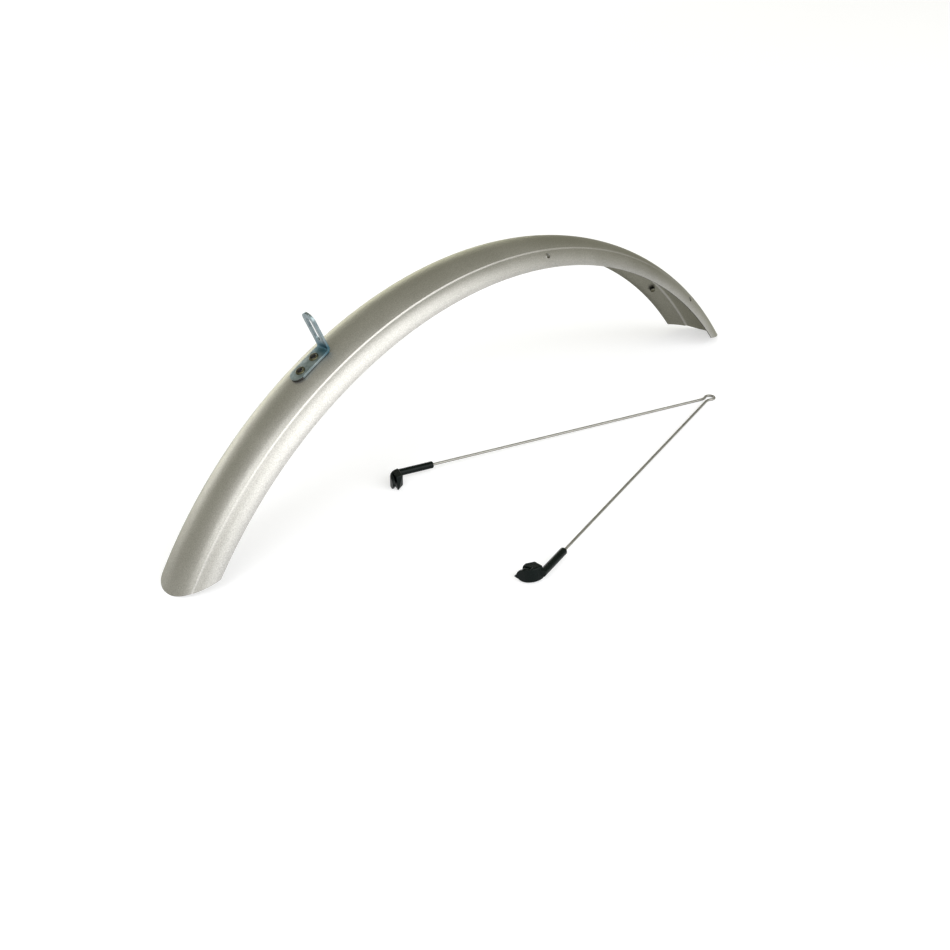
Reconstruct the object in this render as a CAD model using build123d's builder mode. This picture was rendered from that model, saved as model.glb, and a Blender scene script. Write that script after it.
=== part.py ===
"""Front mudguard for a 28 inch bicycle wheel, with its fork bracket and its wire stay laid beside it.

Millimetres. The arch stands on its two ends along X, the wheel axle runs along Y and Z is up.
The origin lies on the floor, in the middle of the ground that the set covers.
"""

import os
from math import asin, atan2, cos, degrees, hypot, radians, sin, sqrt

from build123d import *

# Blade: a formed sheet, curved round the wheel
crown_reach = 366.0      # wheel axle to the outside of the crown
arch_half_angle = 56.6   # from the top of the arch to the tip of either end
end_round = 27.0         # corners of the ends, seen along the wheel's radius
end_margin = 1.2         # the rounding starts this far outside the blade's edge
tip_trim = 0.5           # the tips are cut level by this much, so that the arch stands
sheet = 0.8
crown_radius = 40.0      # across the blade, over the middle of the crown
crown_angle = 21.0       # where the crown's curve passes into the flank's
flank_radius = 20.5
crease_angle = 36.0      # where the raised band steps down to the flank
crease_width = 1.2
crease_step = 0.5
edge_angle = 80.5        # where the flank ends
blade_offset = 79.0      # the blade's middle plane behind the middle of the set

# Stay holes in both flanks
stay_hole = 4.5
stay_hole_angle = 52.4   # round the section, down from the crown
first_hole_angle = 9.1   # round the wheel, forward of the top
second_hole_angle = 43.5

# Fork bracket: a bent strip on the crown
strip_width = 12.8
strip_thickness = 1.8
base_end_angle = -29.5   # round the wheel, the strip's free end
leg_angle = -24.1        # round the wheel, the outside of the bend
leg_lean_angle = 2.5     # the standing leg opens forward from square
leg_length = 33.6
bend_radius = 1.5        # inside the bend
base_corner = 6.2
slot_width = 5.5
slot_length = 20.0
slot_below_tip = 4.5
seat_clearance = 0.05

# Hollow rivets through strip and crown
rivet_bore = 3.8
rivet_shank = 4.8
rivet_flange = 7.6
rivet_flange_height = 0.9
rivet_clinch = 6.8
rivet_clinch_height = 0.7
rivet_clearance = 0.1
upper_rivet_angle = -25.9
lower_rivet_angle = -28.1

# Wire stay: a V with an open eye
wire = 2.2
eye_bolt_hole = 5.5
eye_bend = 3.4           # reverse bend at the eye's neck, on the wire's middle line
eye_x = 184.3
eye_y = -15.5
stay_heading_angle = 178.7     # from the eye along the middle of the V, seen from above
stay_spread_angle = 34.6       # between the legs, seen from above
inner_leg = 264.8        # eye to the mouth of the clip that lies under the arch
outer_leg = 282.1        # eye to the mouth of the other clip

# Clips: a sleeve for the wire and a head that turns aside into two jaws
sleeve_diameter = 5.8
sleeve_bore_depth = 20.0
mouth_chamfer = 0.6
wire_clearance = 0.1
wire_end_gap = 0.5
head_height = 7.2        # middle of the head above the floor
head_thickness = 10.8
head_length = 10.2       # near face to the outer jaw's face
head_back = 0.5          # the head's round back starts this far inside the wire's line
head_reach = 40.2        # mouth to the outer jaw's face
elbow_reach = 9.5        # where the head's round back runs into the outer jaw
outer_jaw_reach = 17.0   # aside from the wire
outer_jaw_thickness = 2.4
outer_jaw_tip = 1.6      # height of the leaf shaped jaw at its tip
jaw_gap = 1.6
jaw_root = 5.5
inner_jaw_reach = 16.0
inner_jaw_top = 12.2     # its end slants back from the floor to the top
inner_jaw_side = 12.0    # where its end starts on the sleeve's side
jaw_tip_round = 0.6
head_edge_round = 1.2

# The section of the blade, from the middle of the crown outwards
flank_side = (crown_radius - flank_radius) * sin(radians(crown_angle))
flank_height = crown_reach - crown_radius + (crown_radius - flank_radius) * cos(radians(crown_angle))
lower_flank_radius = flank_radius - crease_step
crease_end_angle = crease_angle + degrees(crease_width / flank_radius)


def on_flank(angle, radius):
    """A point of the section at an angle down from the crown, about the flank's centre."""
    side = flank_side + radius * sin(radians(angle))
    height = flank_height + radius * cos(radians(angle))
    return (side, height)


edge_side, edge_height = on_flank(edge_angle, lower_flank_radius)
blade_width = 2 * edge_side
blade_depth = crown_reach - edge_height
axle_height = -(crown_reach - sheet) * cos(radians(arch_half_angle)) - tip_trim
axle = Vector(0, blade_offset, axle_height)


def outwards(angle):
    """The wheel's radius at an angle forward of the top."""
    return Vector(sin(radians(angle)), 0, cos(radians(angle)))


def along(angle):
    """The way round the wheel at an angle forward of the top."""
    return Vector(cos(radians(angle)), 0, -sin(radians(angle)))


def section_plane(angle):
    """The plane through the axle at an angle: X across the blade, Y outwards."""
    return Plane(origin=axle, x_dir=(0, 1, 0), z_dir=along(angle))


def rim_plane(angle, reach):
    """The plane square to the radius at an angle, Z outwards."""
    return Plane(origin=axle + outwards(angle) * reach, x_dir=(0, 1, 0), z_dir=outwards(angle))


def skin(inset):
    """The blade's outline, set in from its outer face. Returns the arc of one flank."""
    crown_centre = (0, crown_reach - crown_radius)
    flank_centre = (flank_side, flank_height)
    flank_start = 90 - crease_end_angle
    CenterArc(crown_centre, crown_radius - inset, 90 - crown_angle, 2 * crown_angle)
    shoulder = CenterArc(flank_centre, flank_radius - inset, 90 - crown_angle, crown_angle - crease_angle)
    flank = CenterArc(flank_centre, lower_flank_radius - inset, flank_start, crease_end_angle - edge_angle)
    crease = Line(shoulder @ 1, flank @ 0)
    mirror([shoulder, crease, flank], about=Plane.YZ)
    return flank


rivet_places = (lower_rivet_angle, upper_rivet_angle)
rivet_hole = rivet_shank + 2 * rivet_clearance

# Blade
with BuildPart() as mudguard_blade:
    with BuildSketch(section_plane(-arch_half_angle)):
        with BuildLine():
            outer_flank = skin(0)
            inner_flank = skin(sheet)
            edge = Line(outer_flank @ 1, inner_flank @ 1)
            mirror(edge, about=Plane.YZ)
        make_face()
    revolve(axis=Axis(axle, (0, 1, 0)), revolution_arc=2 * arch_half_angle)
    tongue_width = blade_width + 2 * end_margin
    tongue_length = 4 * end_round
    for end in (-1, 1):
        with BuildSketch(rim_plane(end * arch_half_angle, crown_reach)):
            Rectangle(2 * blade_width, 2 * end_round)
            with Locations((0, end * tongue_length / 2)):
                RectangleRounded(tongue_width, tongue_length, end_round, mode=Mode.SUBTRACT)
        extrude(amount=2 * blade_depth, both=True, mode=Mode.SUBTRACT)
    split(bisect_by=Plane.XY)
    hole_side, hole_reach = on_flank(stay_hole_angle, lower_flank_radius)
    for hole_at in (first_hole_angle, second_hole_angle):
        for side in (-1, 1):
            across = Vector(0, side, 0)
            start = axle + across * hole_side + outwards(hole_at) * hole_reach
            drill = across * sin(radians(stay_hole_angle)) + outwards(hole_at) * cos(radians(stay_hole_angle))
            with BuildSketch(Plane(origin=start, z_dir=drill)):
                Circle(stay_hole / 2)
            extrude(amount=2 * sheet, both=True, mode=Mode.SUBTRACT)
    for rivet_at in rivet_places:
        with BuildSketch(rim_plane(rivet_at, crown_reach)):
            Circle(rivet_hole / 2)
        extrude(amount=2 * sheet, both=True, mode=Mode.SUBTRACT)

# Fork bracket: the base follows the crown, the leg stands out from the wheel and leans a little
base_under = crown_reach + seat_clearance
base_top = base_under + strip_thickness
wheel_plane = Plane(origin=axle, x_dir=(1, 0, 0), z_dir=(0, -1, 0))
leg_heading_angle = leg_angle + leg_lean_angle
foot_height = base_under * cos(radians(leg_lean_angle))
foot_back = base_under * sin(radians(leg_lean_angle)) + strip_thickness
inner_corner = sqrt(base_top**2 - foot_back**2) - foot_height
inner_corner_angle = leg_heading_angle - degrees(atan2(foot_back, foot_height + inner_corner))
leg_foot = axle + outwards(leg_angle) * base_under
leg_plane = Plane(origin=leg_foot, x_dir=(0, 1, 0), z_dir=along(leg_heading_angle))


def on_leg(up, ahead):
    """A point of the wheel's plane, measured along the standing leg and square to it."""
    foot = outwards(leg_angle) * base_under
    place = foot + outwards(leg_heading_angle) * up + along(leg_heading_angle) * ahead
    return (place.X, place.Z)


with BuildPart() as fork_bracket:
    with BuildSketch(wheel_plane) as strip_side:
        with BuildLine():
            under = CenterArc((0, 0), base_under, 90 - base_end_angle, base_end_angle - leg_angle)
            back = Line(under @ 1, on_leg(leg_length, 0))
            tip = Line(back @ 1, on_leg(leg_length, -strip_thickness))
            front = Line(tip @ 1, on_leg(inner_corner, -strip_thickness))
            over = CenterArc((0, 0), base_top, 90 - inner_corner_angle, inner_corner_angle - base_end_angle)
            Line(over @ 1, under @ 0)
        make_face()
        outer_bend = strip_side.vertices().sort_by_distance(back @ 0)[0]
        fillet(outer_bend, bend_radius + strip_thickness)
        inner_bend = strip_side.vertices().sort_by_distance(front @ 1)[0]
        fillet(inner_bend, bend_radius)
    extrude(amount=strip_width / 2, both=True)
    free_corners = fork_bracket.edges().filter_by(Axis(axle, outwards(base_end_angle)))
    fillet(free_corners, base_corner)
    with BuildSketch(leg_plane):
        with Locations((0, leg_length)):
            Rectangle(strip_width, strip_width)
        with Locations((0, leg_length - strip_width / 2)):
            Circle(strip_width / 2, mode=Mode.SUBTRACT)
        with Locations((0, leg_length - slot_below_tip - slot_length / 2)):
            SlotOverall(slot_length, slot_width, rotation=90)
    extrude(amount=2 * strip_thickness, both=True, mode=Mode.SUBTRACT)
    for rivet_at in rivet_places:
        with BuildSketch(rim_plane(rivet_at, base_top)):
            Circle(rivet_hole / 2)
        extrude(amount=2 * strip_thickness, both=True, mode=Mode.SUBTRACT)

# Hollow rivets: a rounded flange on the strip, a tube, and a clinched ring under the crown
crown_inside = crown_radius - sheet
clinch_drop = crown_inside - sqrt(crown_inside**2 - (rivet_clinch / 2) ** 2)
clinch_top = crown_reach - sheet - clinch_drop - seat_clearance
clinch_end = clinch_top - rivet_clinch_height
flange_seat = base_top + seat_clearance
flange_top = flange_seat + rivet_flange_height
with BuildPart() as bracket_rivets:
    for rivet_at in rivet_places:
        with BuildSketch(section_plane(rivet_at)):
            with BuildLine():
                wall = Line((rivet_bore / 2, flange_top), (rivet_bore / 2, clinch_end))
                ring = Polyline(
                    wall @ 1,
                    (rivet_clinch / 2 - rivet_clinch_height, clinch_end),
                    (rivet_clinch / 2, clinch_top),
                    (rivet_shank / 2, clinch_top),
                    (rivet_shank / 2, flange_seat),
                    (rivet_flange / 2, flange_seat),
                )
                rim = RadiusArc(
                    ring @ 1,
                    (rivet_flange / 2 - rivet_flange_height, flange_top),
                    -rivet_flange_height,
                )
                Line(rim @ 1, wall @ 0)
            make_face()
        revolve(axis=Axis(axle, outwards(rivet_at)))

# Wire stay: two legs that rise from the floor to their clips and an eye with a narrow neck
clip_places = (("stay_clip_inner", -1, inner_leg), ("stay_clip_outer", 1, outer_leg))
eye_height = wire / 2 + wire_clearance
eye_centre = Vector(eye_x, eye_y, eye_height)
leg_ways = []
for clip_name, side, leg in clip_places:
    rise = asin((head_height - eye_height) / (leg + head_reach))
    turn = radians(stay_heading_angle + side * stay_spread_angle / 2)
    leg_ways.append(Vector(cos(rise) * cos(turn), cos(rise) * sin(turn), sin(rise)))
stay_way = (leg_ways[0] + leg_ways[1]).normalized()
stay_plane = Plane(origin=eye_centre, x_dir=stay_way, z_dir=leg_ways[0].cross(leg_ways[1]))
half_stay = leg_ways[0].get_angle(leg_ways[1]) / 2
eye_radius = (eye_bolt_hole + wire) / 2
bend_reach = eye_radius + eye_bend
neck_turn = degrees(asin(eye_bend / bend_reach))
neck_at = half_stay + neck_turn
wire_in_sleeve = sleeve_bore_depth - wire_end_gap


def in_stay(angle, reach):
    """A point of the stay's plane, from the eye's centre."""
    return (reach * cos(radians(angle)), reach * sin(radians(angle)))


with BuildPart() as stay_wire:
    with BuildLine(stay_plane) as stay_line:
        neck_run = sqrt(bend_reach**2 - eye_bend**2)
        Line(in_stay(half_stay, outer_leg + wire_in_sleeve), in_stay(half_stay, neck_run))
        CenterArc(in_stay(neck_at, bend_reach), eye_bend, half_stay - 90, neck_turn - 90)
        CenterArc((0, 0), eye_radius, neck_at, 360 - 2 * neck_at)
        CenterArc(in_stay(-neck_at, bend_reach), eye_bend, 180 - neck_at, neck_turn - 90)
        Line(in_stay(-half_stay, neck_run), in_stay(-half_stay, inner_leg + wire_in_sleeve))
    stay_path = stay_line.wires()[0]
    with BuildSketch(Plane(origin=stay_path @ 0, z_dir=stay_path % 0)):
        Circle(wire / 2)
    sweep(path=stay_path)

# Clips: the jaws turn to the inside of the V and lean down until the outer one meets the floor
sleeve_radius = sleeve_diameter / 2
head_start = head_reach - head_length
outer_jaw_at = head_reach - outer_jaw_thickness
inner_jaw_at = outer_jaw_at - jaw_gap
half_head = head_thickness / 2
clips = {}
for (clip_name, side, leg), leg_way in zip(clip_places, leg_ways):
    aside = stay_plane.z_dir.cross(leg_way) * -side
    mouth = eye_centre + leg_way * leg
    jaw_corner = hypot(inner_jaw_reach, half_head)
    lean = asin(head_height / jaw_corner) - atan2(half_head, inner_jaw_reach)
    jaw_way = aside * cos(lean) - stay_plane.z_dir * sin(lean)
    clip_plane = Plane(origin=mouth, x_dir=leg_way, z_dir=leg_way.cross(jaw_way))
    with BuildPart() as clip:
        with BuildSketch(clip_plane) as head:
            with BuildLine():
                back = TangentArc((head_start, head_back), (head_reach, elbow_reach), tangent=(1, 0))
                Polyline(
                    back @ 1,
                    (head_reach, outer_jaw_reach),
                    (outer_jaw_at, outer_jaw_reach),
                    (inner_jaw_at, inner_jaw_reach),
                    (head_start, inner_jaw_side),
                    back @ 0,
                )
            make_face()
            fillet(head.vertices(), jaw_tip_round)
        extrude(amount=half_head, both=True)
        rims = clip.faces().filter_by(Axis(mouth, clip_plane.z_dir)).edges()
        fillet(rims, head_edge_round)
        with BuildSketch(Plane(origin=mouth + leg_way * inner_jaw_at, x_dir=jaw_way, z_dir=leg_way)):
            with BuildLine():
                Polyline(
                    (inner_jaw_top, -side * half_head),
                    (inner_jaw_reach, side * half_head),
                    (head_reach, side * half_head),
                    (head_reach, -side * half_head),
                    close=True,
                )
            make_face()
        extrude(amount=-head_reach, mode=Mode.SUBTRACT)
        with BuildSketch(Plane(origin=mouth + leg_way * inner_jaw_at, x_dir=jaw_way, z_dir=leg_way)):
            with Locations((jaw_root, 0)):
                Rectangle(head_reach, head_reach, align=(Align.MIN, Align.CENTER))
        extrude(amount=jaw_gap, mode=Mode.SUBTRACT)
        with BuildSketch(Plane(origin=mouth + leg_way * inner_jaw_at, x_dir=jaw_way, z_dir=leg_way)):
            with BuildLine():
                leaf_tip = (outer_jaw_reach, outer_jaw_tip / 2)
                leaf = TangentArc((elbow_reach, half_head), leaf_tip, tangent=(1, 0))
                Polyline(leaf @ 1, (outer_jaw_reach, head_thickness), (elbow_reach, head_thickness), leaf @ 0)
            make_face()
            mirror(about=Plane.XZ)
        extrude(amount=head_reach, mode=Mode.SUBTRACT)
        with BuildSketch(Plane(origin=mouth, x_dir=jaw_way, z_dir=leg_way)):
            Circle(sleeve_radius)
        extrude(amount=head_start + sleeve_radius)
        mouth_edge = clip.edges().filter_by(GeomType.CIRCLE).sort_by_distance(mouth)[0]
        chamfer(mouth_edge, mouth_chamfer)
        with BuildSketch(Plane(origin=mouth, z_dir=leg_way)):
            Circle(wire / 2 + wire_clearance)
        extrude(amount=sleeve_bore_depth, mode=Mode.SUBTRACT)
    clips[clip_name] = clip

os.makedirs("parts", exist_ok=True)
mudguard_blade.part.label = "mudguard_blade"
export_step(mudguard_blade.part, "parts/mudguard_blade.step")
fork_bracket.part.label = "fork_bracket"
export_step(fork_bracket.part, "parts/fork_bracket.step")
bracket_rivets.part.label = "bracket_rivets"
export_step(bracket_rivets.part, "parts/bracket_rivets.step")
stay_wire.part.label = "stay_wire"
export_step(stay_wire.part, "parts/stay_wire.step")
for clip_name, clip in clips.items():
    clip.part.label = clip_name
    export_step(clip.part, f"parts/{clip_name}.step")
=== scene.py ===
"""Looks of a silver-grey front mudguard with its fork bracket, and of its wire stay beside it. Metres."""

from math import asin, cos, pi, radians, sin, sqrt

import bpy
from mathutils import Matrix, Vector


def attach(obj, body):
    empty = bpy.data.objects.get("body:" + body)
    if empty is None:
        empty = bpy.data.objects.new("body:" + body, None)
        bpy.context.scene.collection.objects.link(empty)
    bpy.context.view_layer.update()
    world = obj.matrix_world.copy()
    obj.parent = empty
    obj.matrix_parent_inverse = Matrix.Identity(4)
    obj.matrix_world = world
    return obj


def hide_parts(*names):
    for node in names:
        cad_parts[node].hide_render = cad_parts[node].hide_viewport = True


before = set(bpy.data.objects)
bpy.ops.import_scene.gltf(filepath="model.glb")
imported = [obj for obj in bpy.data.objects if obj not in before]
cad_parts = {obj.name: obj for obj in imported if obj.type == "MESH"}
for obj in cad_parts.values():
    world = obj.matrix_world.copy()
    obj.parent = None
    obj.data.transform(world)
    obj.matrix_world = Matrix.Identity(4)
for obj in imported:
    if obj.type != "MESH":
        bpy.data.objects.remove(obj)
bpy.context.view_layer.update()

# Arch: a formed sheet round the wheel
CROWN_REACH = 0.366
ARCH_HALF_ANGLE = radians(56.6)
SHEET = 0.0008
CROWN_RADIUS = 0.040
CROWN_ANGLE = radians(21)
FLANK_RADIUS = 0.0205
CREASE_ANGLE = radians(36)
CREASE_WIDTH = 0.0012
CREASE_STEP = 0.0005
EDGE_ANGLE = radians(80.5)
END_ROUND = 0.027
END_MARGIN = 0.0002
STAY_HOLE = 0.0045
STAY_HOLE_ANGLE = radians(52.4)
HOLE_PLACES = (radians(9.1), radians(43.5))
HOLE_LIP = 0.0032
LIP_WALL = 0.0003
AXLE = Vector((0, 0.079, -0.20161))
FLANK_SIDE = (CROWN_RADIUS - FLANK_RADIUS) * sin(CROWN_ANGLE)
FLANK_HEIGHT = CROWN_REACH - CROWN_RADIUS + (CROWN_RADIUS - FLANK_RADIUS) * cos(CROWN_ANGLE)
LOWER_FLANK = FLANK_RADIUS - CREASE_STEP
CREASE_END = CREASE_ANGLE + CREASE_WIDTH / FLANK_RADIUS
BLADE_WIDTH = 2 * (FLANK_SIDE + LOWER_FLANK * sin(EDGE_ANGLE))
# The pressed line, with the painted highlight laid along it, runs between these two reaches from the axle
LINE_INSIDE = 0.3588
LINE_OUTSIDE = 0.3611

# Fork bracket: a bent strip on the crown
SEAT_GAP = 0.00005
STRIP_WIDTH = 0.0128
STRIP = 0.0018
STRIP_BEVEL = 0.0004
BASE_UNDER = CROWN_REACH + SEAT_GAP
FOOT_TOP = BASE_UNDER + STRIP + 0.0003
BASE_END = radians(-29.5)
LEG_ANGLE = radians(-24.1)
LEG_LEAN = radians(2.5)
LEG_HEADING = LEG_ANGLE + LEG_LEAN
LEG_LENGTH = 0.0336
BEND_RADIUS = 0.0015
BASE_CORNER = 0.0062
SLOT_WIDTH = 0.0055
SLOT_LENGTH = 0.020
SLOT_BELOW_TIP = 0.0045

# Hollow rivets
RIVET_BORE = 0.0038
BORE_SHADE_MARGIN = 0.0004
RIVET_SHANK = 0.0048
RIVET_HOLE = 0.0050
RIVET_FLANGE = 0.0076
RIVET_CLINCH = 0.0068
RIVET_PLACES = (radians(-28.1), radians(-25.9))
CLINCH_GAP = 0.0002
FLANGE_SEAT = BASE_UNDER + STRIP + SEAT_GAP
CLINCH_SEAT = CROWN_REACH - SHEET - CLINCH_GAP

# Wire stay: a V with an open eye
WIRE = 0.0022
EYE_RADIUS = 0.0040
EYE_BEND = 0.0090
EYE_HEIGHT = 0.0012
EYE_CENTRE = Vector((0.1843, -0.0155, EYE_HEIGHT))
STAY_HEADING = radians(178.7)
STAY_SPREAD = radians(34.6)
INNER_LEG = 0.2648
OUTER_LEG = 0.2821

# Clips on the ends of the wire
HEAD_HEIGHT = 0.0072
HEAD_REACH = 0.0402
WIRE_IN_SLEEVE = 0.0195
JAW_LEAN = radians(6.6)
JAW_MIDDLE = 0.0077
CLIP_GRAIN = 0.0003
# Each setting of the jaws is a box, by its low and high corners, and how far the points in it are pulled:
# along the leg, along the jaws and upwards, from the sleeve's mouth
INNER_JAWS = (
    ((0.0370, 0.0125, -0.02), (0.05, 0.02, 0.02), (0, -0.0018, 0)),
    ((0.0285, 0.0080, -0.02), (0.033, 0.02, 0.02), (0, -0.0012, 0)),
)
OUTER_JAWS = (
    ((0.0285, 0.0072, 0.003), (0.0330, 0.0082, 0.02), (-0.0026, 0, 0.0002)),
    ((0.0330, 0.0082, 0.003), (0.0368, 0.02, 0.02), (0, 0.0004, 0.0002)),
    ((0.0285, 0.0082, 0.003), (0.0330, 0.02, 0.02), (0.0012, 0.0004, 0.0002)),
    ((0.0370, 0.0110, 0.001), (0.05, 0.0155, 0.02), (0, 0, -0.0008)),
    ((0.0370, 0.0155, -0.02), (0.05, 0.02, 0), (0, 0.0012, 0)),
    ((0.0370, 0.0155, 0), (0.05, 0.02, 0.02), (0, 0.0012, -0.0034)),
)

# Fineness of the work: steps round each curve, degrees between cuts, sides of round tools, distances that
# count as none, and the depths of the drills
CROWN_STEPS = 6
SHOULDER_STEPS = 4
FLANK_STEPS = 12
ARCH_STEPS = 160
STRIP_STEPS = 12
BEND_STEPS = 8
FLANGE_STEPS = 10
CLINCH_STEPS = 8
RIVET_STEPS = 40
NECK_STEPS = 10
EYE_STEPS = 36
END_CUTS = 4
STRIP_CUTS = 8
DRILL_SIDES = 32
WIRE_SIDES = 20
WELD = 1e-6
TOUCH = 1e-5
RIVET_DRILL = 0.012
HOLE_DRILL = 0.006
SLOT_DRILL = 0.010

# Picture: the camera's place and ways, as fitted to the photograph, and the ground to its right
PICTURE_SIDE = 950
FOCAL_PIXELS = 1183.86
SENSOR = 36
CAMERA_PLACE = (-0.595176, -0.571828, 0.468255)
CAMERA_RIGHT = Vector((0.7272, -0.68496, -0.04486))
CAMERA_UP = Vector((0.36852, 0.33444, 0.86738))
CAMERA_BACK = Vector((-0.57911, -0.64729, 0.49562))
RIGHTWARD_TURN = radians(63.6)
FLOOR_SIDE = 40
GLOW = 0.52
GLOW_EDGE = 0.36
GLOW_END = 0.75
LAMP_AIM = Vector((0, 0.05, 0.06))


def outwards(angle):
    """The wheel's radius at an angle forward of the top."""
    return Vector((sin(angle), 0, cos(angle)))


def along(angle):
    """The way round the wheel at an angle forward of the top."""
    return Vector((cos(angle), 0, -sin(angle)))


def across(side):
    """A way along the wheel's axle."""
    return Vector((0, side, 0))


# Hand tools

def enter():
    bpy.ops.object.mode_set(mode="EDIT")


def leave():
    bpy.ops.object.mode_set(mode="OBJECT")


def put_down():
    bpy.ops.object.select_all(action="DESELECT")


def use(piece):
    put_down()
    piece.select_set(True)
    bpy.context.view_layer.objects.active = piece


def rename(piece, name):
    piece.name = name
    piece.data.name = name


def take_all():
    bpy.ops.mesh.select_all(action="SELECT")


def pick(piece, test):
    """Selects the points of a piece, in edit mode, by their place."""
    bpy.ops.mesh.select_all(action="DESELECT")
    leave()
    for point in piece.data.vertices:
        point.select = test(piece.matrix_world @ point.co)
    enter()


def start_piece(name):
    """A new mesh object in edit mode, a single point at the world's middle."""
    put_down()
    bpy.ops.mesh.primitive_plane_add(size=0.01)
    piece = bpy.context.object
    rename(piece, name)
    enter()
    take_all()
    bpy.ops.mesh.merge(type="CENTER")
    return piece


def move(offset):
    bpy.ops.transform.translate(value=offset)


def pull(offset):
    """Extrudes what is selected along an offset."""
    bpy.ops.mesh.extrude_region_move(TRANSFORM_OT_translate={"value": offset})


def sweep(angle, steps, centre, axis):
    """Spins what is selected about an axis, right-handed; the far end stays selected."""
    bpy.ops.mesh.spin(steps=steps, angle=-angle, center=centre, axis=axis)


def turn_to(angle):
    """Turns what is selected round the wheel, from the top of the arch to an angle."""
    bpy.ops.transform.rotate(value=-angle, orient_axis="Y", center_override=AXLE)


def cut(place, facing, fill=False):
    """Cuts off what lies beyond a plane."""
    take_all()
    bpy.ops.mesh.bisect(plane_co=place, plane_no=facing, clear_outer=True, use_fill=fill, threshold=WELD)


def round_off(middle, radius, first, second, turns, fill=False):
    """Rounds a corner by cuts that touch its curve, turned from one way towards another."""
    for turn in turns:
        facing = first * cos(radians(turn)) + second * sin(radians(turn))
        cut(middle + facing * radius, facing, fill)


def score(place, facing):
    """Draws the line of a plane round a piece."""
    take_all()
    bpy.ops.mesh.bisect(plane_co=place, plane_no=facing, threshold=WELD)


def merge_all():
    take_all()
    bpy.ops.mesh.remove_doubles(threshold=WELD)


def close_and_face_out():
    merge_all()
    bpy.ops.mesh.normals_make_consistent(inside=False)


def apply(piece, kind, **settings):
    """Adds a modifier to a piece and applies it."""
    use(piece)
    modifier = piece.modifiers.new(kind.title(), kind)
    for key, value in settings.items():
        setattr(modifier, key, value)
    bpy.ops.object.modifier_apply(modifier=modifier.name)


def join(pieces):
    put_down()
    for piece in pieces:
        piece.select_set(True)
    bpy.context.view_layer.objects.active = pieces[0]
    bpy.ops.object.join()
    return pieces[0]


def cut_with(piece, cutters):
    cutter = join(cutters)
    apply(piece, "BOOLEAN", operation="DIFFERENCE", object=cutter, solver="EXACT")
    bpy.data.objects.remove(cutter)


def smooth(piece, degrees):
    """Shades a piece smooth, apart from edges sharper than an angle."""
    use(piece)
    bpy.ops.object.shade_smooth_by_angle(angle=radians(degrees))


def drill(place, way, radius, depth):
    """A round cutter through a place, along a way."""
    put_down()
    bpy.ops.mesh.primitive_cylinder_add(
        vertices=DRILL_SIDES,
        radius=radius,
        depth=depth,
        location=place,
        rotation=Vector(way).to_track_quat("Z", "Y").to_euler(),
    )
    return bpy.context.object


def rivet_drills():
    drills = []
    for at in RIVET_PLACES:
        drills.append(drill(AXLE + outwards(at) * CROWN_REACH, outwards(at), RIVET_HOLE / 2, RIVET_DRILL))
    return drills


def paint_shade_on_faces(piece, finish, test):
    """Gives a second material to faces chosen by their middle and the way that they face; here it lays
    near-black painted shade.
    """
    piece.data.materials.append(finish)
    for face in piece.data.polygons:
        if test(face.center, face.normal):
            face.material_index = len(piece.data.materials) - 1


def hand_over(piece, slot, material, *nodes):
    """The finished piece gets its material, rides with the set and stands for its solids."""
    if piece.data.materials.find(material.name) < 0:
        piece.data.materials.clear()
        piece.data.materials.append(material)
    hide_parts(*nodes)
    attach(piece, "root")


# Material tools

def new_material(name):
    material = bpy.data.materials.new(name)
    material.use_nodes = True
    tree = material.node_tree
    return material, tree, tree.nodes["Principled BSDF"]


def put(node, **inputs):
    """Sets a node's sockets; an underscore stands for a space in a socket's name."""
    for key, value in inputs.items():
        node.inputs[key.replace("_", " ")].default_value = value


def add(tree, kind, **inputs):
    node = tree.nodes.new(kind)
    put(node, **inputs)
    return node


def ramp(tree, factor, *stops):
    """A colour ramp on a factor, from (position, colour) stops."""
    node = tree.nodes.new("ShaderNodeValToRGB")
    while len(node.color_ramp.elements) < len(stops):
        node.color_ramp.elements.new(0.5)
    for element, (position, colour) in zip(node.color_ramp.elements, stops):
        element.position = position
        element.color = colour if len(colour) == 4 else (*colour, 1)
    tree.links.new(factor, node.inputs["Fac"])
    return node.outputs["Color"]


def mottled(tree, factor, low, high):
    """A tone between two colours, over the middle of a noise."""
    return ramp(tree, factor, (0.3, low), (0.7, high))


def grey(value):
    return (value, value, value, 1)


def blend(tree, kind, amount, first, second):
    """Mixes two colours; the amount is a number or a link."""
    node = tree.nodes.new("ShaderNodeMix")
    node.data_type = "RGBA"
    node.blend_type = kind
    if isinstance(amount, float):
        node.inputs[0].default_value = amount
    else:
        tree.links.new(amount, node.inputs[0])
    tree.links.new(first, node.inputs[6])
    tree.links.new(second, node.inputs[7])
    return node.outputs[2]


def calculate(tree, kind, first, second):
    node = tree.nodes.new("ShaderNodeMath")
    node.operation = kind
    tree.links.new(first, node.inputs[0])
    tree.links.new(second, node.inputs[1])
    return node.outputs["Value"]


def span(tree, value, **inputs):
    """Maps a value from one range to another."""
    node = add(tree, "ShaderNodeMapRange", **inputs)
    tree.links.new(value, node.inputs["Value"])
    return node.outputs["Result"]


def place_of(tree, scale=(1, 1, 1), turn=(0, 0, 0), shift=(0, 0, 0)):
    """Object coordinates, shifted, turned and stretched."""
    where = tree.nodes.new("ShaderNodeTexCoord")
    mapping = add(tree, "ShaderNodeMapping", Location=shift, Rotation=turn, Scale=scale)
    tree.links.new(where.outputs["Object"], mapping.inputs["Vector"])
    return mapping.outputs["Vector"]


def length_of(tree, where):
    node = tree.nodes.new("ShaderNodeVectorMath")
    node.operation = "LENGTH"
    tree.links.new(where, node.inputs[0])
    return node.outputs["Value"]


def noise(tree, where, scale, detail=2.0, roughness=0.5):
    node = add(tree, "ShaderNodeTexNoise", Scale=scale, Detail=detail, Roughness=roughness)
    tree.links.new(where, node.inputs["Vector"])
    return node.outputs["Fac"]


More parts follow.
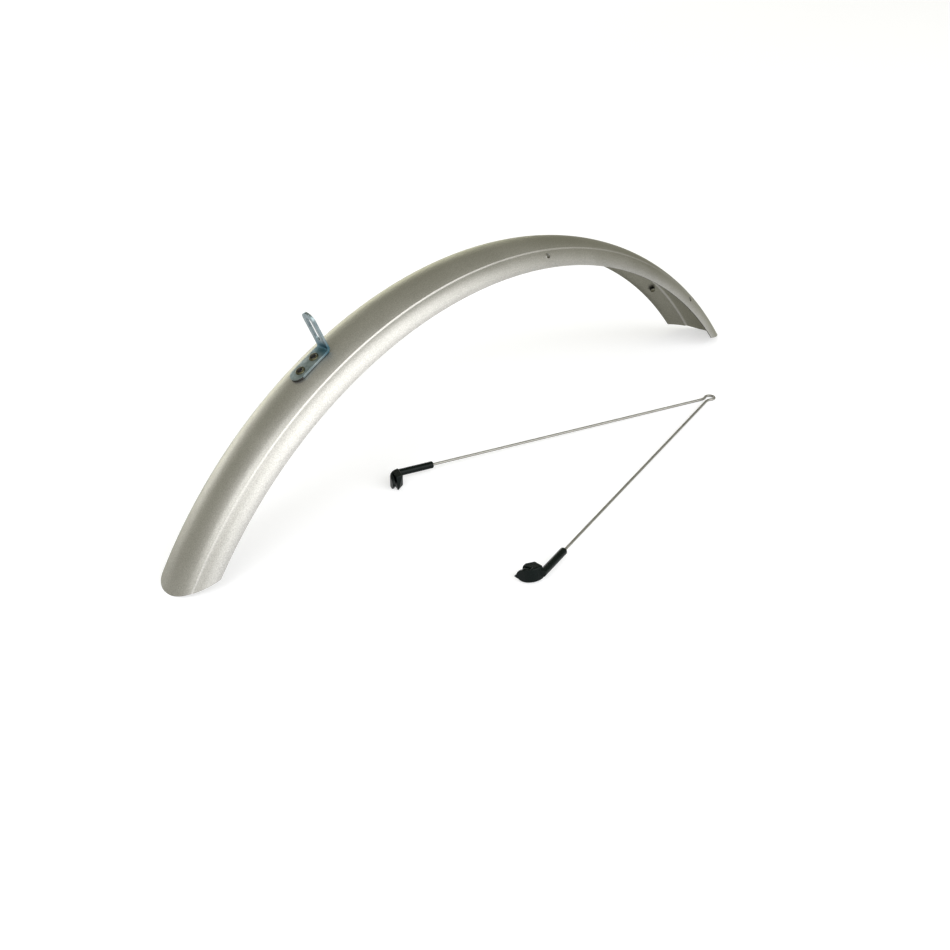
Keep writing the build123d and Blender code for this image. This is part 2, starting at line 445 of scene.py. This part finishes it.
def raise_by(tree, shader, height, strength, distance):
    bump = add(tree, "ShaderNodeBump", Strength=strength, Distance=distance)
    tree.links.new(height, bump.inputs["Height"])
    tree.links.new(bump.outputs["Normal"], shader.inputs["Normal"])


# Materials

def lacquer(name, dark, light, line_highlight):
    """Satin silver lacquer: fine flake, an uneven tone, a slight peel, and a painted highlight along the
    pressed line.
    """
    material, tree, shader = new_material(name)
    where = place_of(tree)
    flake = noise(tree, where, scale=1500, roughness=0.6)
    cloud = noise(tree, where, scale=24, detail=3.0)
    tone = ramp(tree, flake, (0.25, dark), (0.75, light))
    coat = blend(tree, "MULTIPLY", 1.0, tone, mottled(tree, cloud, grey(0.94), grey(1.0)))
    from_axle = length_of(tree, place_of(tree, scale=(1, 0, 1), shift=(0, 0, -AXLE.z)))
    on_line = span(tree, from_axle, From_Min=LINE_INSIDE, From_Max=LINE_OUTSIDE)
    # Painted highlight along the pressed line: a paler flaked tone, mixed in up to the given amount
    highlight_grey = grey(line_highlight)
    line_highlight_mask = ramp(tree, on_line, (0.1, grey(0)), (0.4, highlight_grey), (0.7, highlight_grey), (1.0, grey(0)))
    highlight_tone = ramp(tree, flake, (0.25, (0.62, 0.61, 0.59)), (0.75, (0.76, 0.75, 0.73)))
    tree.links.new(blend(tree, "MIX", line_highlight_mask, coat, highlight_tone), shader.inputs["Base Color"])
    tree.links.new(mottled(tree, cloud, grey(0.42), grey(0.48)), shader.inputs["Roughness"])
    raise_by(tree, shader, noise(tree, where, scale=900), strength=0.05, distance=0.0004)
    put(shader, Metallic=0.97, Specular_IOR_Level=0.2, Specular_Tint=(0.42, 0.42, 0.32, 1))
    return material


def bracket_zinc():
    """Blue zinc plating: a mottled pale blue, a darker teal towards the inside of the bend, dulled in
    streaks.
    """
    material, tree, shader = new_material("blue_zinc_plating")
    where = place_of(tree)
    mottle = noise(tree, where, scale=260, detail=4.0, roughness=0.6)
    tone = mottled(tree, mottle, (0.17, 0.22, 0.24), (0.30, 0.36, 0.385))
    deep = mottled(tree, mottle, (0.02, 0.09, 0.135), (0.05, 0.145, 0.20))
    bend = AXLE + outwards(LEG_ANGLE) * (BASE_UNDER + STRIP) + along(LEG_HEADING) * -STRIP
    narrowing = Vector((1, 0.3, 1))
    from_bend = length_of(tree, place_of(tree, scale=narrowing, shift=-bend * narrowing))
    near = span(tree, from_bend, From_Min=0.003, From_Max=0.009, To_Min=0.85, To_Max=0.0)
    tree.links.new(blend(tree, "MIX", near, tone, deep), shader.inputs["Base Color"])
    tree.links.new(mottled(tree, mottle, grey(0.34), grey(0.46)), shader.inputs["Roughness"])
    raise_by(tree, shader, noise(tree, where, scale=1400), strength=0.06, distance=0.0002)
    put(shader, Metallic=0.85)
    return material


def plain_metal(name, low, high, roughness, metallic, scale, stretch=(1, 1, 1)):
    """A plated or drawn metal with a mottled tone."""
    material, tree, shader = new_material(name)
    where = place_of(tree, stretch)
    mottle = noise(tree, where, scale, detail=4.0, roughness=0.6)
    gloss = mottled(tree, mottle, grey(roughness - 0.06), grey(roughness + 0.06))
    tree.links.new(mottled(tree, mottle, low, high), shader.inputs["Base Color"])
    tree.links.new(gloss, shader.inputs["Roughness"])
    raise_by(tree, shader, noise(tree, where, 6 * scale), strength=0.05, distance=0.0002)
    put(shader, Metallic=metallic)
    return material


def clip_plastic():
    """Black moulded plastic with a fine grain and a faint green cast."""
    material, tree, shader = new_material("black_moulded_plastic")
    grain = noise(tree, place_of(tree), scale=1800)
    tone = mottled(tree, grain, (0.0014, 0.0034, 0.0030), (0.0030, 0.0066, 0.0060))
    tree.links.new(tone, shader.inputs["Base Color"])
    tree.links.new(mottled(tree, grain, grey(0.24), grey(0.34)), shader.inputs["Roughness"])
    raise_by(tree, shader, grain, strength=0.08, distance=0.0002)
    put(shader, Specular_IOR_Level=0.11)
    return material


silver = lacquer("silver_lacquer", (0.325, 0.320, 0.308), (0.550, 0.542, 0.526), line_highlight=0.04)
# The blade's inner face: the same lacquer, darker and more olive as painted shade, with a stronger painted
# highlight on the pressed line
shaded_inner_silver = lacquer("inner_lacquer_painted_shade", (0.170, 0.166, 0.136), (0.310, 0.304, 0.255), line_highlight=0.35)
zinc = bracket_zinc()
brass = plain_metal(
    "dull_brass", (0.055, 0.055, 0.032), (0.13, 0.125, 0.08), roughness=0.3, metallic=0.9, scale=420
)
# Near black: painted shade on the sheet's cut rims, in the bores of the hole lips and rivets, and on the
# sides of the bracket's foot
shade_black = plain_metal(
    "near_black_painted_shade", (0.010, 0.010, 0.009), (0.030, 0.029, 0.026), roughness=0.5, metallic=0.3, scale=600
)
# Pale zinc on the strip's bevels: a painted highlight along its edges
zinc_highlight = plain_metal(
    "zinc_edge_painted_highlight", (0.72, 0.75, 0.77), (0.86, 0.88, 0.90), roughness=0.32, metallic=0.3, scale=500
)
steel = plain_metal(
    "drawn_steel",
    (0.23, 0.225, 0.21),
    (0.33, 0.325, 0.305),
    roughness=0.42,
    metallic=0.85,
    scale=700,
    stretch=(0.05, 1, 1),
)
black = clip_plastic()


# Blade: half of its section is drawn at the top of the arch, then mirrored and spun round the wheel

def hole_lip(place, way):
    """The short lip that the punch leaves inside a hole; its bore is coloured near black as painted shade.
    """
    lip = drill(place - way * HOLE_LIP / 2, way, STAY_HOLE / 2, HOLE_LIP)
    enter()
    pick(lip, lambda at: (at - place).dot(way) > -TOUCH)
    bpy.ops.mesh.delete(type="ONLY_FACE")
    pick(lip, lambda at: (at - place).dot(way) < TOUCH - HOLE_LIP)
    bpy.ops.mesh.delete(type="ONLY_FACE")
    leave()
    for finish in (shade_black, shaded_inner_silver):
        lip.data.materials.append(finish)
    apply(lip, "SOLIDIFY", thickness=LIP_WALL, offset=1.0, material_offset=1, material_offset_rim=1)
    return lip


def model_blade():
    blade = start_piece("blade")
    forward = (1, 0, 0)
    crown_centre = AXLE + Vector((0, 0, CROWN_REACH - CROWN_RADIUS))
    flank_centre = AXLE + Vector((0, FLANK_SIDE, FLANK_HEIGHT))
    move(AXLE + Vector((0, 0, CROWN_REACH)))
    sweep(-CROWN_ANGLE, CROWN_STEPS, crown_centre, forward)
    sweep(CROWN_ANGLE - CREASE_ANGLE, SHOULDER_STEPS, flank_centre, forward)
    shoulder = Vector((0, sin(CREASE_ANGLE), cos(CREASE_ANGLE))) * FLANK_RADIUS
    pull(Vector((0, sin(CREASE_END), cos(CREASE_END))) * LOWER_FLANK - shoulder)
    sweep(CREASE_END - EDGE_ANGLE, FLANK_STEPS, flank_centre, forward)
    take_all()
    bpy.ops.mesh.duplicate()
    bpy.ops.transform.resize(value=(1, -1, 1), center_override=AXLE)
    merge_all()
    take_all()
    turn_to(-ARCH_HALF_ANGLE)
    sweep(2 * ARCH_HALF_ANGLE, ARCH_STEPS, AXLE, (0, 1, 0))
    close_and_face_out()
    corner_side = BLADE_WIDTH / 2 + END_MARGIN - END_ROUND
    for end in (-1, 1):
        tip = AXLE + outwards(end * ARCH_HALF_ANGLE) * CROWN_REACH
        onward = along(end * ARCH_HALF_ANGLE) * end
        for side in (-1, 1):
            middle = tip - onward * END_ROUND + across(side * corner_side)
            round_off(middle, END_ROUND, onward, across(side), range(0, 90, END_CUTS))
    leave()
    # Outer face silver; the inner shell takes the painted-shade lacquer, and the sheet's rims the
    # near-black painted shade
    for finish in (silver, shade_black, shaded_inner_silver):
        blade.data.materials.append(finish)
    apply(
        blade,
        "SOLIDIFY",
        thickness=SHEET,
        offset=-1.0,
        use_even_offset=True,
        material_offset=2,
        material_offset_rim=1,
    )
    enter()
    cut((0, 0, 0), (0, 0, -1), fill=True)
    leave()
    drills = rivet_drills()
    lips = []
    for at in HOLE_PLACES:
        for side in (-1, 1):
            way = across(side * sin(STAY_HOLE_ANGLE)) + outwards(at) * cos(STAY_HOLE_ANGLE)
            foot = AXLE + across(side * FLANK_SIDE) + outwards(at) * FLANK_HEIGHT
            drills.append(drill(foot + way * LOWER_FLANK, way, STAY_HOLE / 2, HOLE_DRILL))
            lips.append(hole_lip(foot + way * (LOWER_FLANK - SHEET / 2), way))
    cut_with(blade, drills)
    join([blade, *lips])
    smooth(blade, degrees=15)
    return blade


# Fork bracket: the strip's side is drawn round its bend, then pulled to its width and rounded

def foot_side_in_shade(middle, facing):
    """True on the sides of the strip's foot, cut edges that lie in their own shade; they are coloured near
    black as painted shade.
    """
    up = outwards(LEG_ANGLE)
    return (middle - AXLE).dot(up) < FOOT_TOP and abs(facing.dot(up)) < 0.5


def model_bracket():
    bracket = start_piece("bracket")
    axle_way = (0, 1, 0)
    bend = BEND_RADIUS + STRIP
    bend_reach = BASE_UNDER + bend
    bend_back = asin((BASE_UNDER * sin(LEG_LEAN) + bend) / bend_reach)
    bend_angle = LEG_HEADING - bend_back
    bend_centre = AXLE + outwards(bend_angle) * bend_reach + across(-STRIP_WIDTH / 2)
    leg_up = outwards(LEG_HEADING)
    leg_run = leg_up * (LEG_LENGTH + BASE_UNDER * cos(LEG_LEAN) - bend_reach * cos(bend_back))
    move(AXLE + outwards(BASE_END) * BASE_UNDER + across(-STRIP_WIDTH / 2))
    sweep(bend_angle - BASE_END, STRIP_STEPS, AXLE, axle_way)
    sweep(bend_back - pi / 2, BEND_STEPS, bend_centre, axle_way)
    pull(leg_run)
    pull(along(LEG_HEADING) * -STRIP)
    pull(-leg_run)
    sweep(pi / 2 - bend_back, BEND_STEPS, bend_centre, axle_way)
    sweep(BASE_END - bend_angle, STRIP_STEPS, AXLE, axle_way)
    pull(outwards(BASE_END) * -STRIP)
    merge_all()
    take_all()
    bpy.ops.mesh.edge_face_add()
    pull(across(STRIP_WIDTH))
    close_and_face_out()
    foot = AXLE + outwards(LEG_ANGLE) * BASE_UNDER
    tip_centre = foot + leg_up * (LEG_LENGTH - STRIP_WIDTH / 2)
    round_off(tip_centre, STRIP_WIDTH / 2, leg_up, across(1), range(-80, 81, STRIP_CUTS), fill=True)
    for side in (-1, 1):
        corner = AXLE + outwards(BASE_END) * BASE_UNDER + along(BASE_END) * BASE_CORNER
        corner += across(side * (STRIP_WIDTH / 2 - BASE_CORNER))
        round_off(corner, BASE_CORNER, -along(BASE_END), across(side), range(5, 86, STRIP_CUTS), fill=True)
    close_and_face_out()
    leave()
    # The slot is a round cutter, half of it drawn along the leg
    slot_foot = foot + leg_up * (LEG_LENGTH - SLOT_BELOW_TIP - SLOT_LENGTH + SLOT_WIDTH / 2)
    slot = drill(slot_foot, along(LEG_HEADING), SLOT_WIDTH / 2, SLOT_DRILL)
    enter()
    pick(slot, lambda place: (place - slot_foot).dot(leg_up) > TOUCH)
    move(leg_up * (SLOT_LENGTH - SLOT_WIDTH))
    leave()
    cut_with(bracket, [slot, *rivet_drills()])
    bracket.data.materials.append(zinc)
    # The sides of the foot take the near-black painted shade
    paint_shade_on_faces(bracket, shade_black, foot_side_in_shade)
    # The bevel's new faces take the pale painted highlight
    bracket.data.materials.append(zinc_highlight)
    apply(
        bracket,
        "BEVEL",
        width=STRIP_BEVEL,
        segments=2,
        limit_method="ANGLE",
        angle_limit=radians(40),
        material=2,
    )
    smooth(bracket, degrees=30)
    return bracket


# Rivets: a rolled flange, a tube and a clinched ring, drawn as one outline and spun about the tube

def in_bore(middle, facing):
    """True inside a rivet that still stands on the axle, at the top of the arch; these faces take the
    near-black painted shade.
    """
    return Vector((middle - AXLE).xy).length < RIVET_BORE / 2 + BORE_SHADE_MARGIN


def model_rivets():
    rivet = start_piece("rivets")
    forward = (1, 0, 0)
    flange_roll = (RIVET_FLANGE - RIVET_BORE) / 4
    clinch_roll = (RIVET_CLINCH - RIVET_BORE) / 4
    flange_centre = AXLE + Vector((0, RIVET_BORE / 2 + flange_roll, FLANGE_SEAT))
    clinch_centre = AXLE + Vector((0, RIVET_BORE / 2 + clinch_roll, CLINCH_SEAT))
    tube = FLANGE_SEAT - CLINCH_SEAT
    move(AXLE + Vector((0, RIVET_BORE / 2, FLANGE_SEAT)))
    sweep(-pi, FLANGE_STEPS, flange_centre, forward)
    pull(across((RIVET_SHANK - RIVET_FLANGE) / 2))
    pull((0, 0, -tube))
    pull(across((RIVET_CLINCH - RIVET_SHANK) / 2))
    sweep(-pi, CLINCH_STEPS, clinch_centre, forward)
    pull((0, 0, tube))
    merge_all()
    take_all()
    sweep(2 * pi, RIVET_STEPS, AXLE, (0, 0, 1))
    close_and_face_out()
    leave()
    rivet.data.materials.append(brass)
    # The bores are coloured near black as painted shade
    paint_shade_on_faces(rivet, shade_black, in_bore)
    enter()
    take_all()
    turn_to(RIVET_PLACES[0])
    leave()
    use(rivet)
    bpy.ops.object.duplicate()
    second = bpy.context.object
    enter()
    take_all()
    turn_to(RIVET_PLACES[1] - RIVET_PLACES[0])
    leave()
    join([rivet, second])
    smooth(rivet, degrees=50)
    return rivet


# Wire: a ring of points is drawn down one leg, round the neck, the eye and the neck again, and up the other

def leg_way(leg, side):
    """The way from the eye along a leg of the V, up to its clip's head."""
    rise = asin((HEAD_HEIGHT - EYE_HEIGHT) / (leg + HEAD_REACH))
    turn = STAY_HEADING + side * STAY_SPREAD / 2
    return Vector((cos(rise) * cos(turn), cos(rise) * sin(turn), sin(rise)))


INNER_WAY = leg_way(INNER_LEG, -1)
OUTER_WAY = leg_way(OUTER_LEG, 1)
STAY_UPRIGHT = INNER_WAY.cross(OUTER_WAY).normalized()


def model_wire():
    middle = (INNER_WAY + OUTER_WAY).normalized()
    aside = STAY_UPRIGHT.cross(middle)
    bend_reach = EYE_RADIUS + EYE_BEND
    neck_turn = asin(EYE_BEND / bend_reach)
    neck_at = INNER_WAY.angle(OUTER_WAY) / 2 + neck_turn
    neck_run = sqrt(bend_reach**2 - EYE_BEND**2)
    outer_bend = EYE_CENTRE + (middle * cos(neck_at) + aside * sin(neck_at)) * bend_reach
    inner_bend = EYE_CENTRE + (middle * cos(neck_at) - aside * sin(neck_at)) * bend_reach
    put_down()
    bpy.ops.mesh.primitive_circle_add(
        vertices=WIRE_SIDES,
        radius=WIRE / 2,
        location=EYE_CENTRE + OUTER_WAY * (OUTER_LEG + WIRE_IN_SLEEVE),
        rotation=OUTER_WAY.to_track_quat("Z", "Y").to_euler(),
    )
    wire = bpy.context.object
    rename(wire, "wire")
    enter()
    pull(OUTER_WAY * (neck_run - OUTER_LEG - WIRE_IN_SLEEVE))
    sweep(neck_turn - pi / 2, NECK_STEPS, outer_bend, STAY_UPRIGHT)
    sweep(2 * pi - 2 * neck_at, EYE_STEPS, EYE_CENTRE, STAY_UPRIGHT)
    sweep(neck_turn - pi / 2, NECK_STEPS, inner_bend, STAY_UPRIGHT)
    pull(INNER_WAY * (INNER_LEG + WIRE_IN_SLEEVE - neck_run))
    take_all()
    bpy.ops.mesh.fill_holes(sides=0)
    close_and_face_out()
    leave()
    use(wire)
    bpy.ops.object.transform_apply(location=True, rotation=True, scale=True)
    smooth(wire, degrees=40)
    return wire


# Clips: the solid's shape, its jaws set a little, with the soft edges of a moulding

def pull_box(piece, corner, ways, low, high, offset):
    """Moves the points of a piece that lie in a box, measured along three ways from a corner."""

    def inside(place):
        return all(least < (place - corner).dot(way) < most for least, way, most in zip(low, ways, high))

    pick(piece, inside)
    move(ways[0] * offset[0] + ways[1] * offset[1] + ways[2] * offset[2])


def model_clip(name, node, leg, way, side, settings):
    clip = bpy.data.objects.new(name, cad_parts[node].data.copy())
    rename(clip, name)
    bpy.context.scene.collection.objects.link(clip)
    jaw = STAY_UPRIGHT.cross(way) * -side * cos(JAW_LEAN) - STAY_UPRIGHT * sin(JAW_LEAN)
    top = way.cross(jaw) * -side
    mouth = EYE_CENTRE + way * leg
    use(clip)
    enter()
    merge_all()
    score(mouth + jaw * JAW_MIDDLE, jaw)
    for low, high, offset in settings:
        pull_box(clip, mouth, (way, jaw, top), low, high, offset)
    leave()
    apply(clip, "REMESH", mode="VOXEL", voxel_size=CLIP_GRAIN, use_smooth_shade=True)
    apply(clip, "SMOOTH", factor=0.5, iterations=4)
    smooth(clip, degrees=60)
    return clip


hand_over(model_blade(), "blade_paint", silver, "mudguard_blade")
hand_over(model_bracket(), "bracket_zinc", zinc, "fork_bracket")
hand_over(model_rivets(), "rivet_brass", brass, "bracket_rivets")
hand_over(model_wire(), "stay_steel", steel, "stay_wire")
inner_clip = model_clip("inner_clip", "stay_clip_inner", INNER_LEG, INNER_WAY, -1, INNER_JAWS)
hand_over(inner_clip, "clip_plastic", black, "stay_clip_inner")
outer_clip = model_clip("outer_clip", "stay_clip_outer", OUTER_LEG, OUTER_WAY, 1, OUTER_JAWS)
hand_over(outer_clip, "clip_plastic", black, "stay_clip_outer")


# Stage

def stage_floor(colour):
    """A matt floor with a glow that fades out beyond the right of the picture."""
    put_down()
    bpy.ops.mesh.primitive_plane_add(size=FLOOR_SIDE)
    floor = bpy.context.object
    floor.name = "floor"
    material, tree, shader = new_material("pale_floor")
    tree.nodes.remove(shader)
    rays = tree.nodes.new("ShaderNodeLightPath").outputs
    seen = calculate(tree, "ADD", rays["Is Camera Ray"], rays["Is Glossy Ray"])
    seen = calculate(tree, "ADD", seen, rays["Is Transmission Ray"])
    seen.node.use_clamp = True
    rightwards = tree.nodes.new("ShaderNodeSeparateXYZ")
    tree.links.new(place_of(tree, turn=(0, 0, RIGHTWARD_TURN)), rightwards.inputs["Vector"])
    fade = span(
        tree, rightwards.outputs["X"], From_Min=GLOW_EDGE, From_Max=GLOW_END, To_Min=GLOW, To_Max=0.0
    )
    glow = tree.nodes.new("ShaderNodeEmission")
    tree.links.new(calculate(tree, "MULTIPLY", seen, fade), glow.inputs["Strength"])
    matt = add(tree, "ShaderNodeBsdfDiffuse", Color=colour)
    both = tree.nodes.new("ShaderNodeAddShader")
    tree.links.new(glow.outputs[0], both.inputs[0])
    tree.links.new(matt.outputs[0], both.inputs[1])
    tree.links.new(both.outputs[0], tree.nodes["Material Output"].inputs["Surface"])
    floor.data.materials.append(material)


def stage_world(colour, strength):
    world = bpy.data.worlds.new("studio")
    bpy.context.scene.world = world
    world.use_nodes = True
    put(world.node_tree.nodes["Background"], Color=colour, Strength=strength)


def stage_lamp(name, azimuth, elevation, size, power, tall=None, reach=4.0):
    """A round soft lamp that looks at the set; azimuth 0 is the stay's side, 90 the arch's front end."""
    facing = Vector((sin(radians(azimuth)), -cos(radians(azimuth)), 0)) * cos(radians(elevation))
    facing.z = sin(radians(elevation))
    lamp = bpy.data.lights.new(name, "AREA")
    lamp.shape = "ELLIPSE"
    lamp.size = size
    lamp.size_y = tall or size
    lamp.energy = power
    holder = bpy.data.objects.new(name, lamp)
    bpy.context.scene.collection.objects.link(holder)
    holder.location = LAMP_AIM + facing * reach
    holder.rotation_euler = facing.to_track_quat("Z", "Y").to_euler()


def stage_camera():
    camera = bpy.data.cameras.new("camera")
    camera.sensor_width = SENSOR
    camera.lens = FOCAL_PIXELS * SENSOR / PICTURE_SIDE
    camera.clip_start = 0.01
    camera.clip_end = 100
    holder = bpy.data.objects.new("camera", camera)
    bpy.context.scene.collection.objects.link(holder)
    turn = Matrix((CAMERA_RIGHT, CAMERA_UP, CAMERA_BACK)).transposed().to_4x4()
    holder.matrix_world = Matrix.Translation(CAMERA_PLACE) @ turn
    bpy.context.scene.camera = holder


stage_floor(colour=(0.585, 0.59, 0.63, 1))
stage_world(colour=(1, 0.985, 0.78, 1), strength=0.44)
stage_lamp("key", azimuth=3, elevation=20, size=5.0, power=190)
stage_lamp("left", azimuth=-64, elevation=42, size=3.0, power=62)
stage_lamp("back", azimuth=168, elevation=7, size=5.6, power=85, tall=0.9)
stage_camera()
bpy.context.scene.view_settings.view_transform = "Standard"
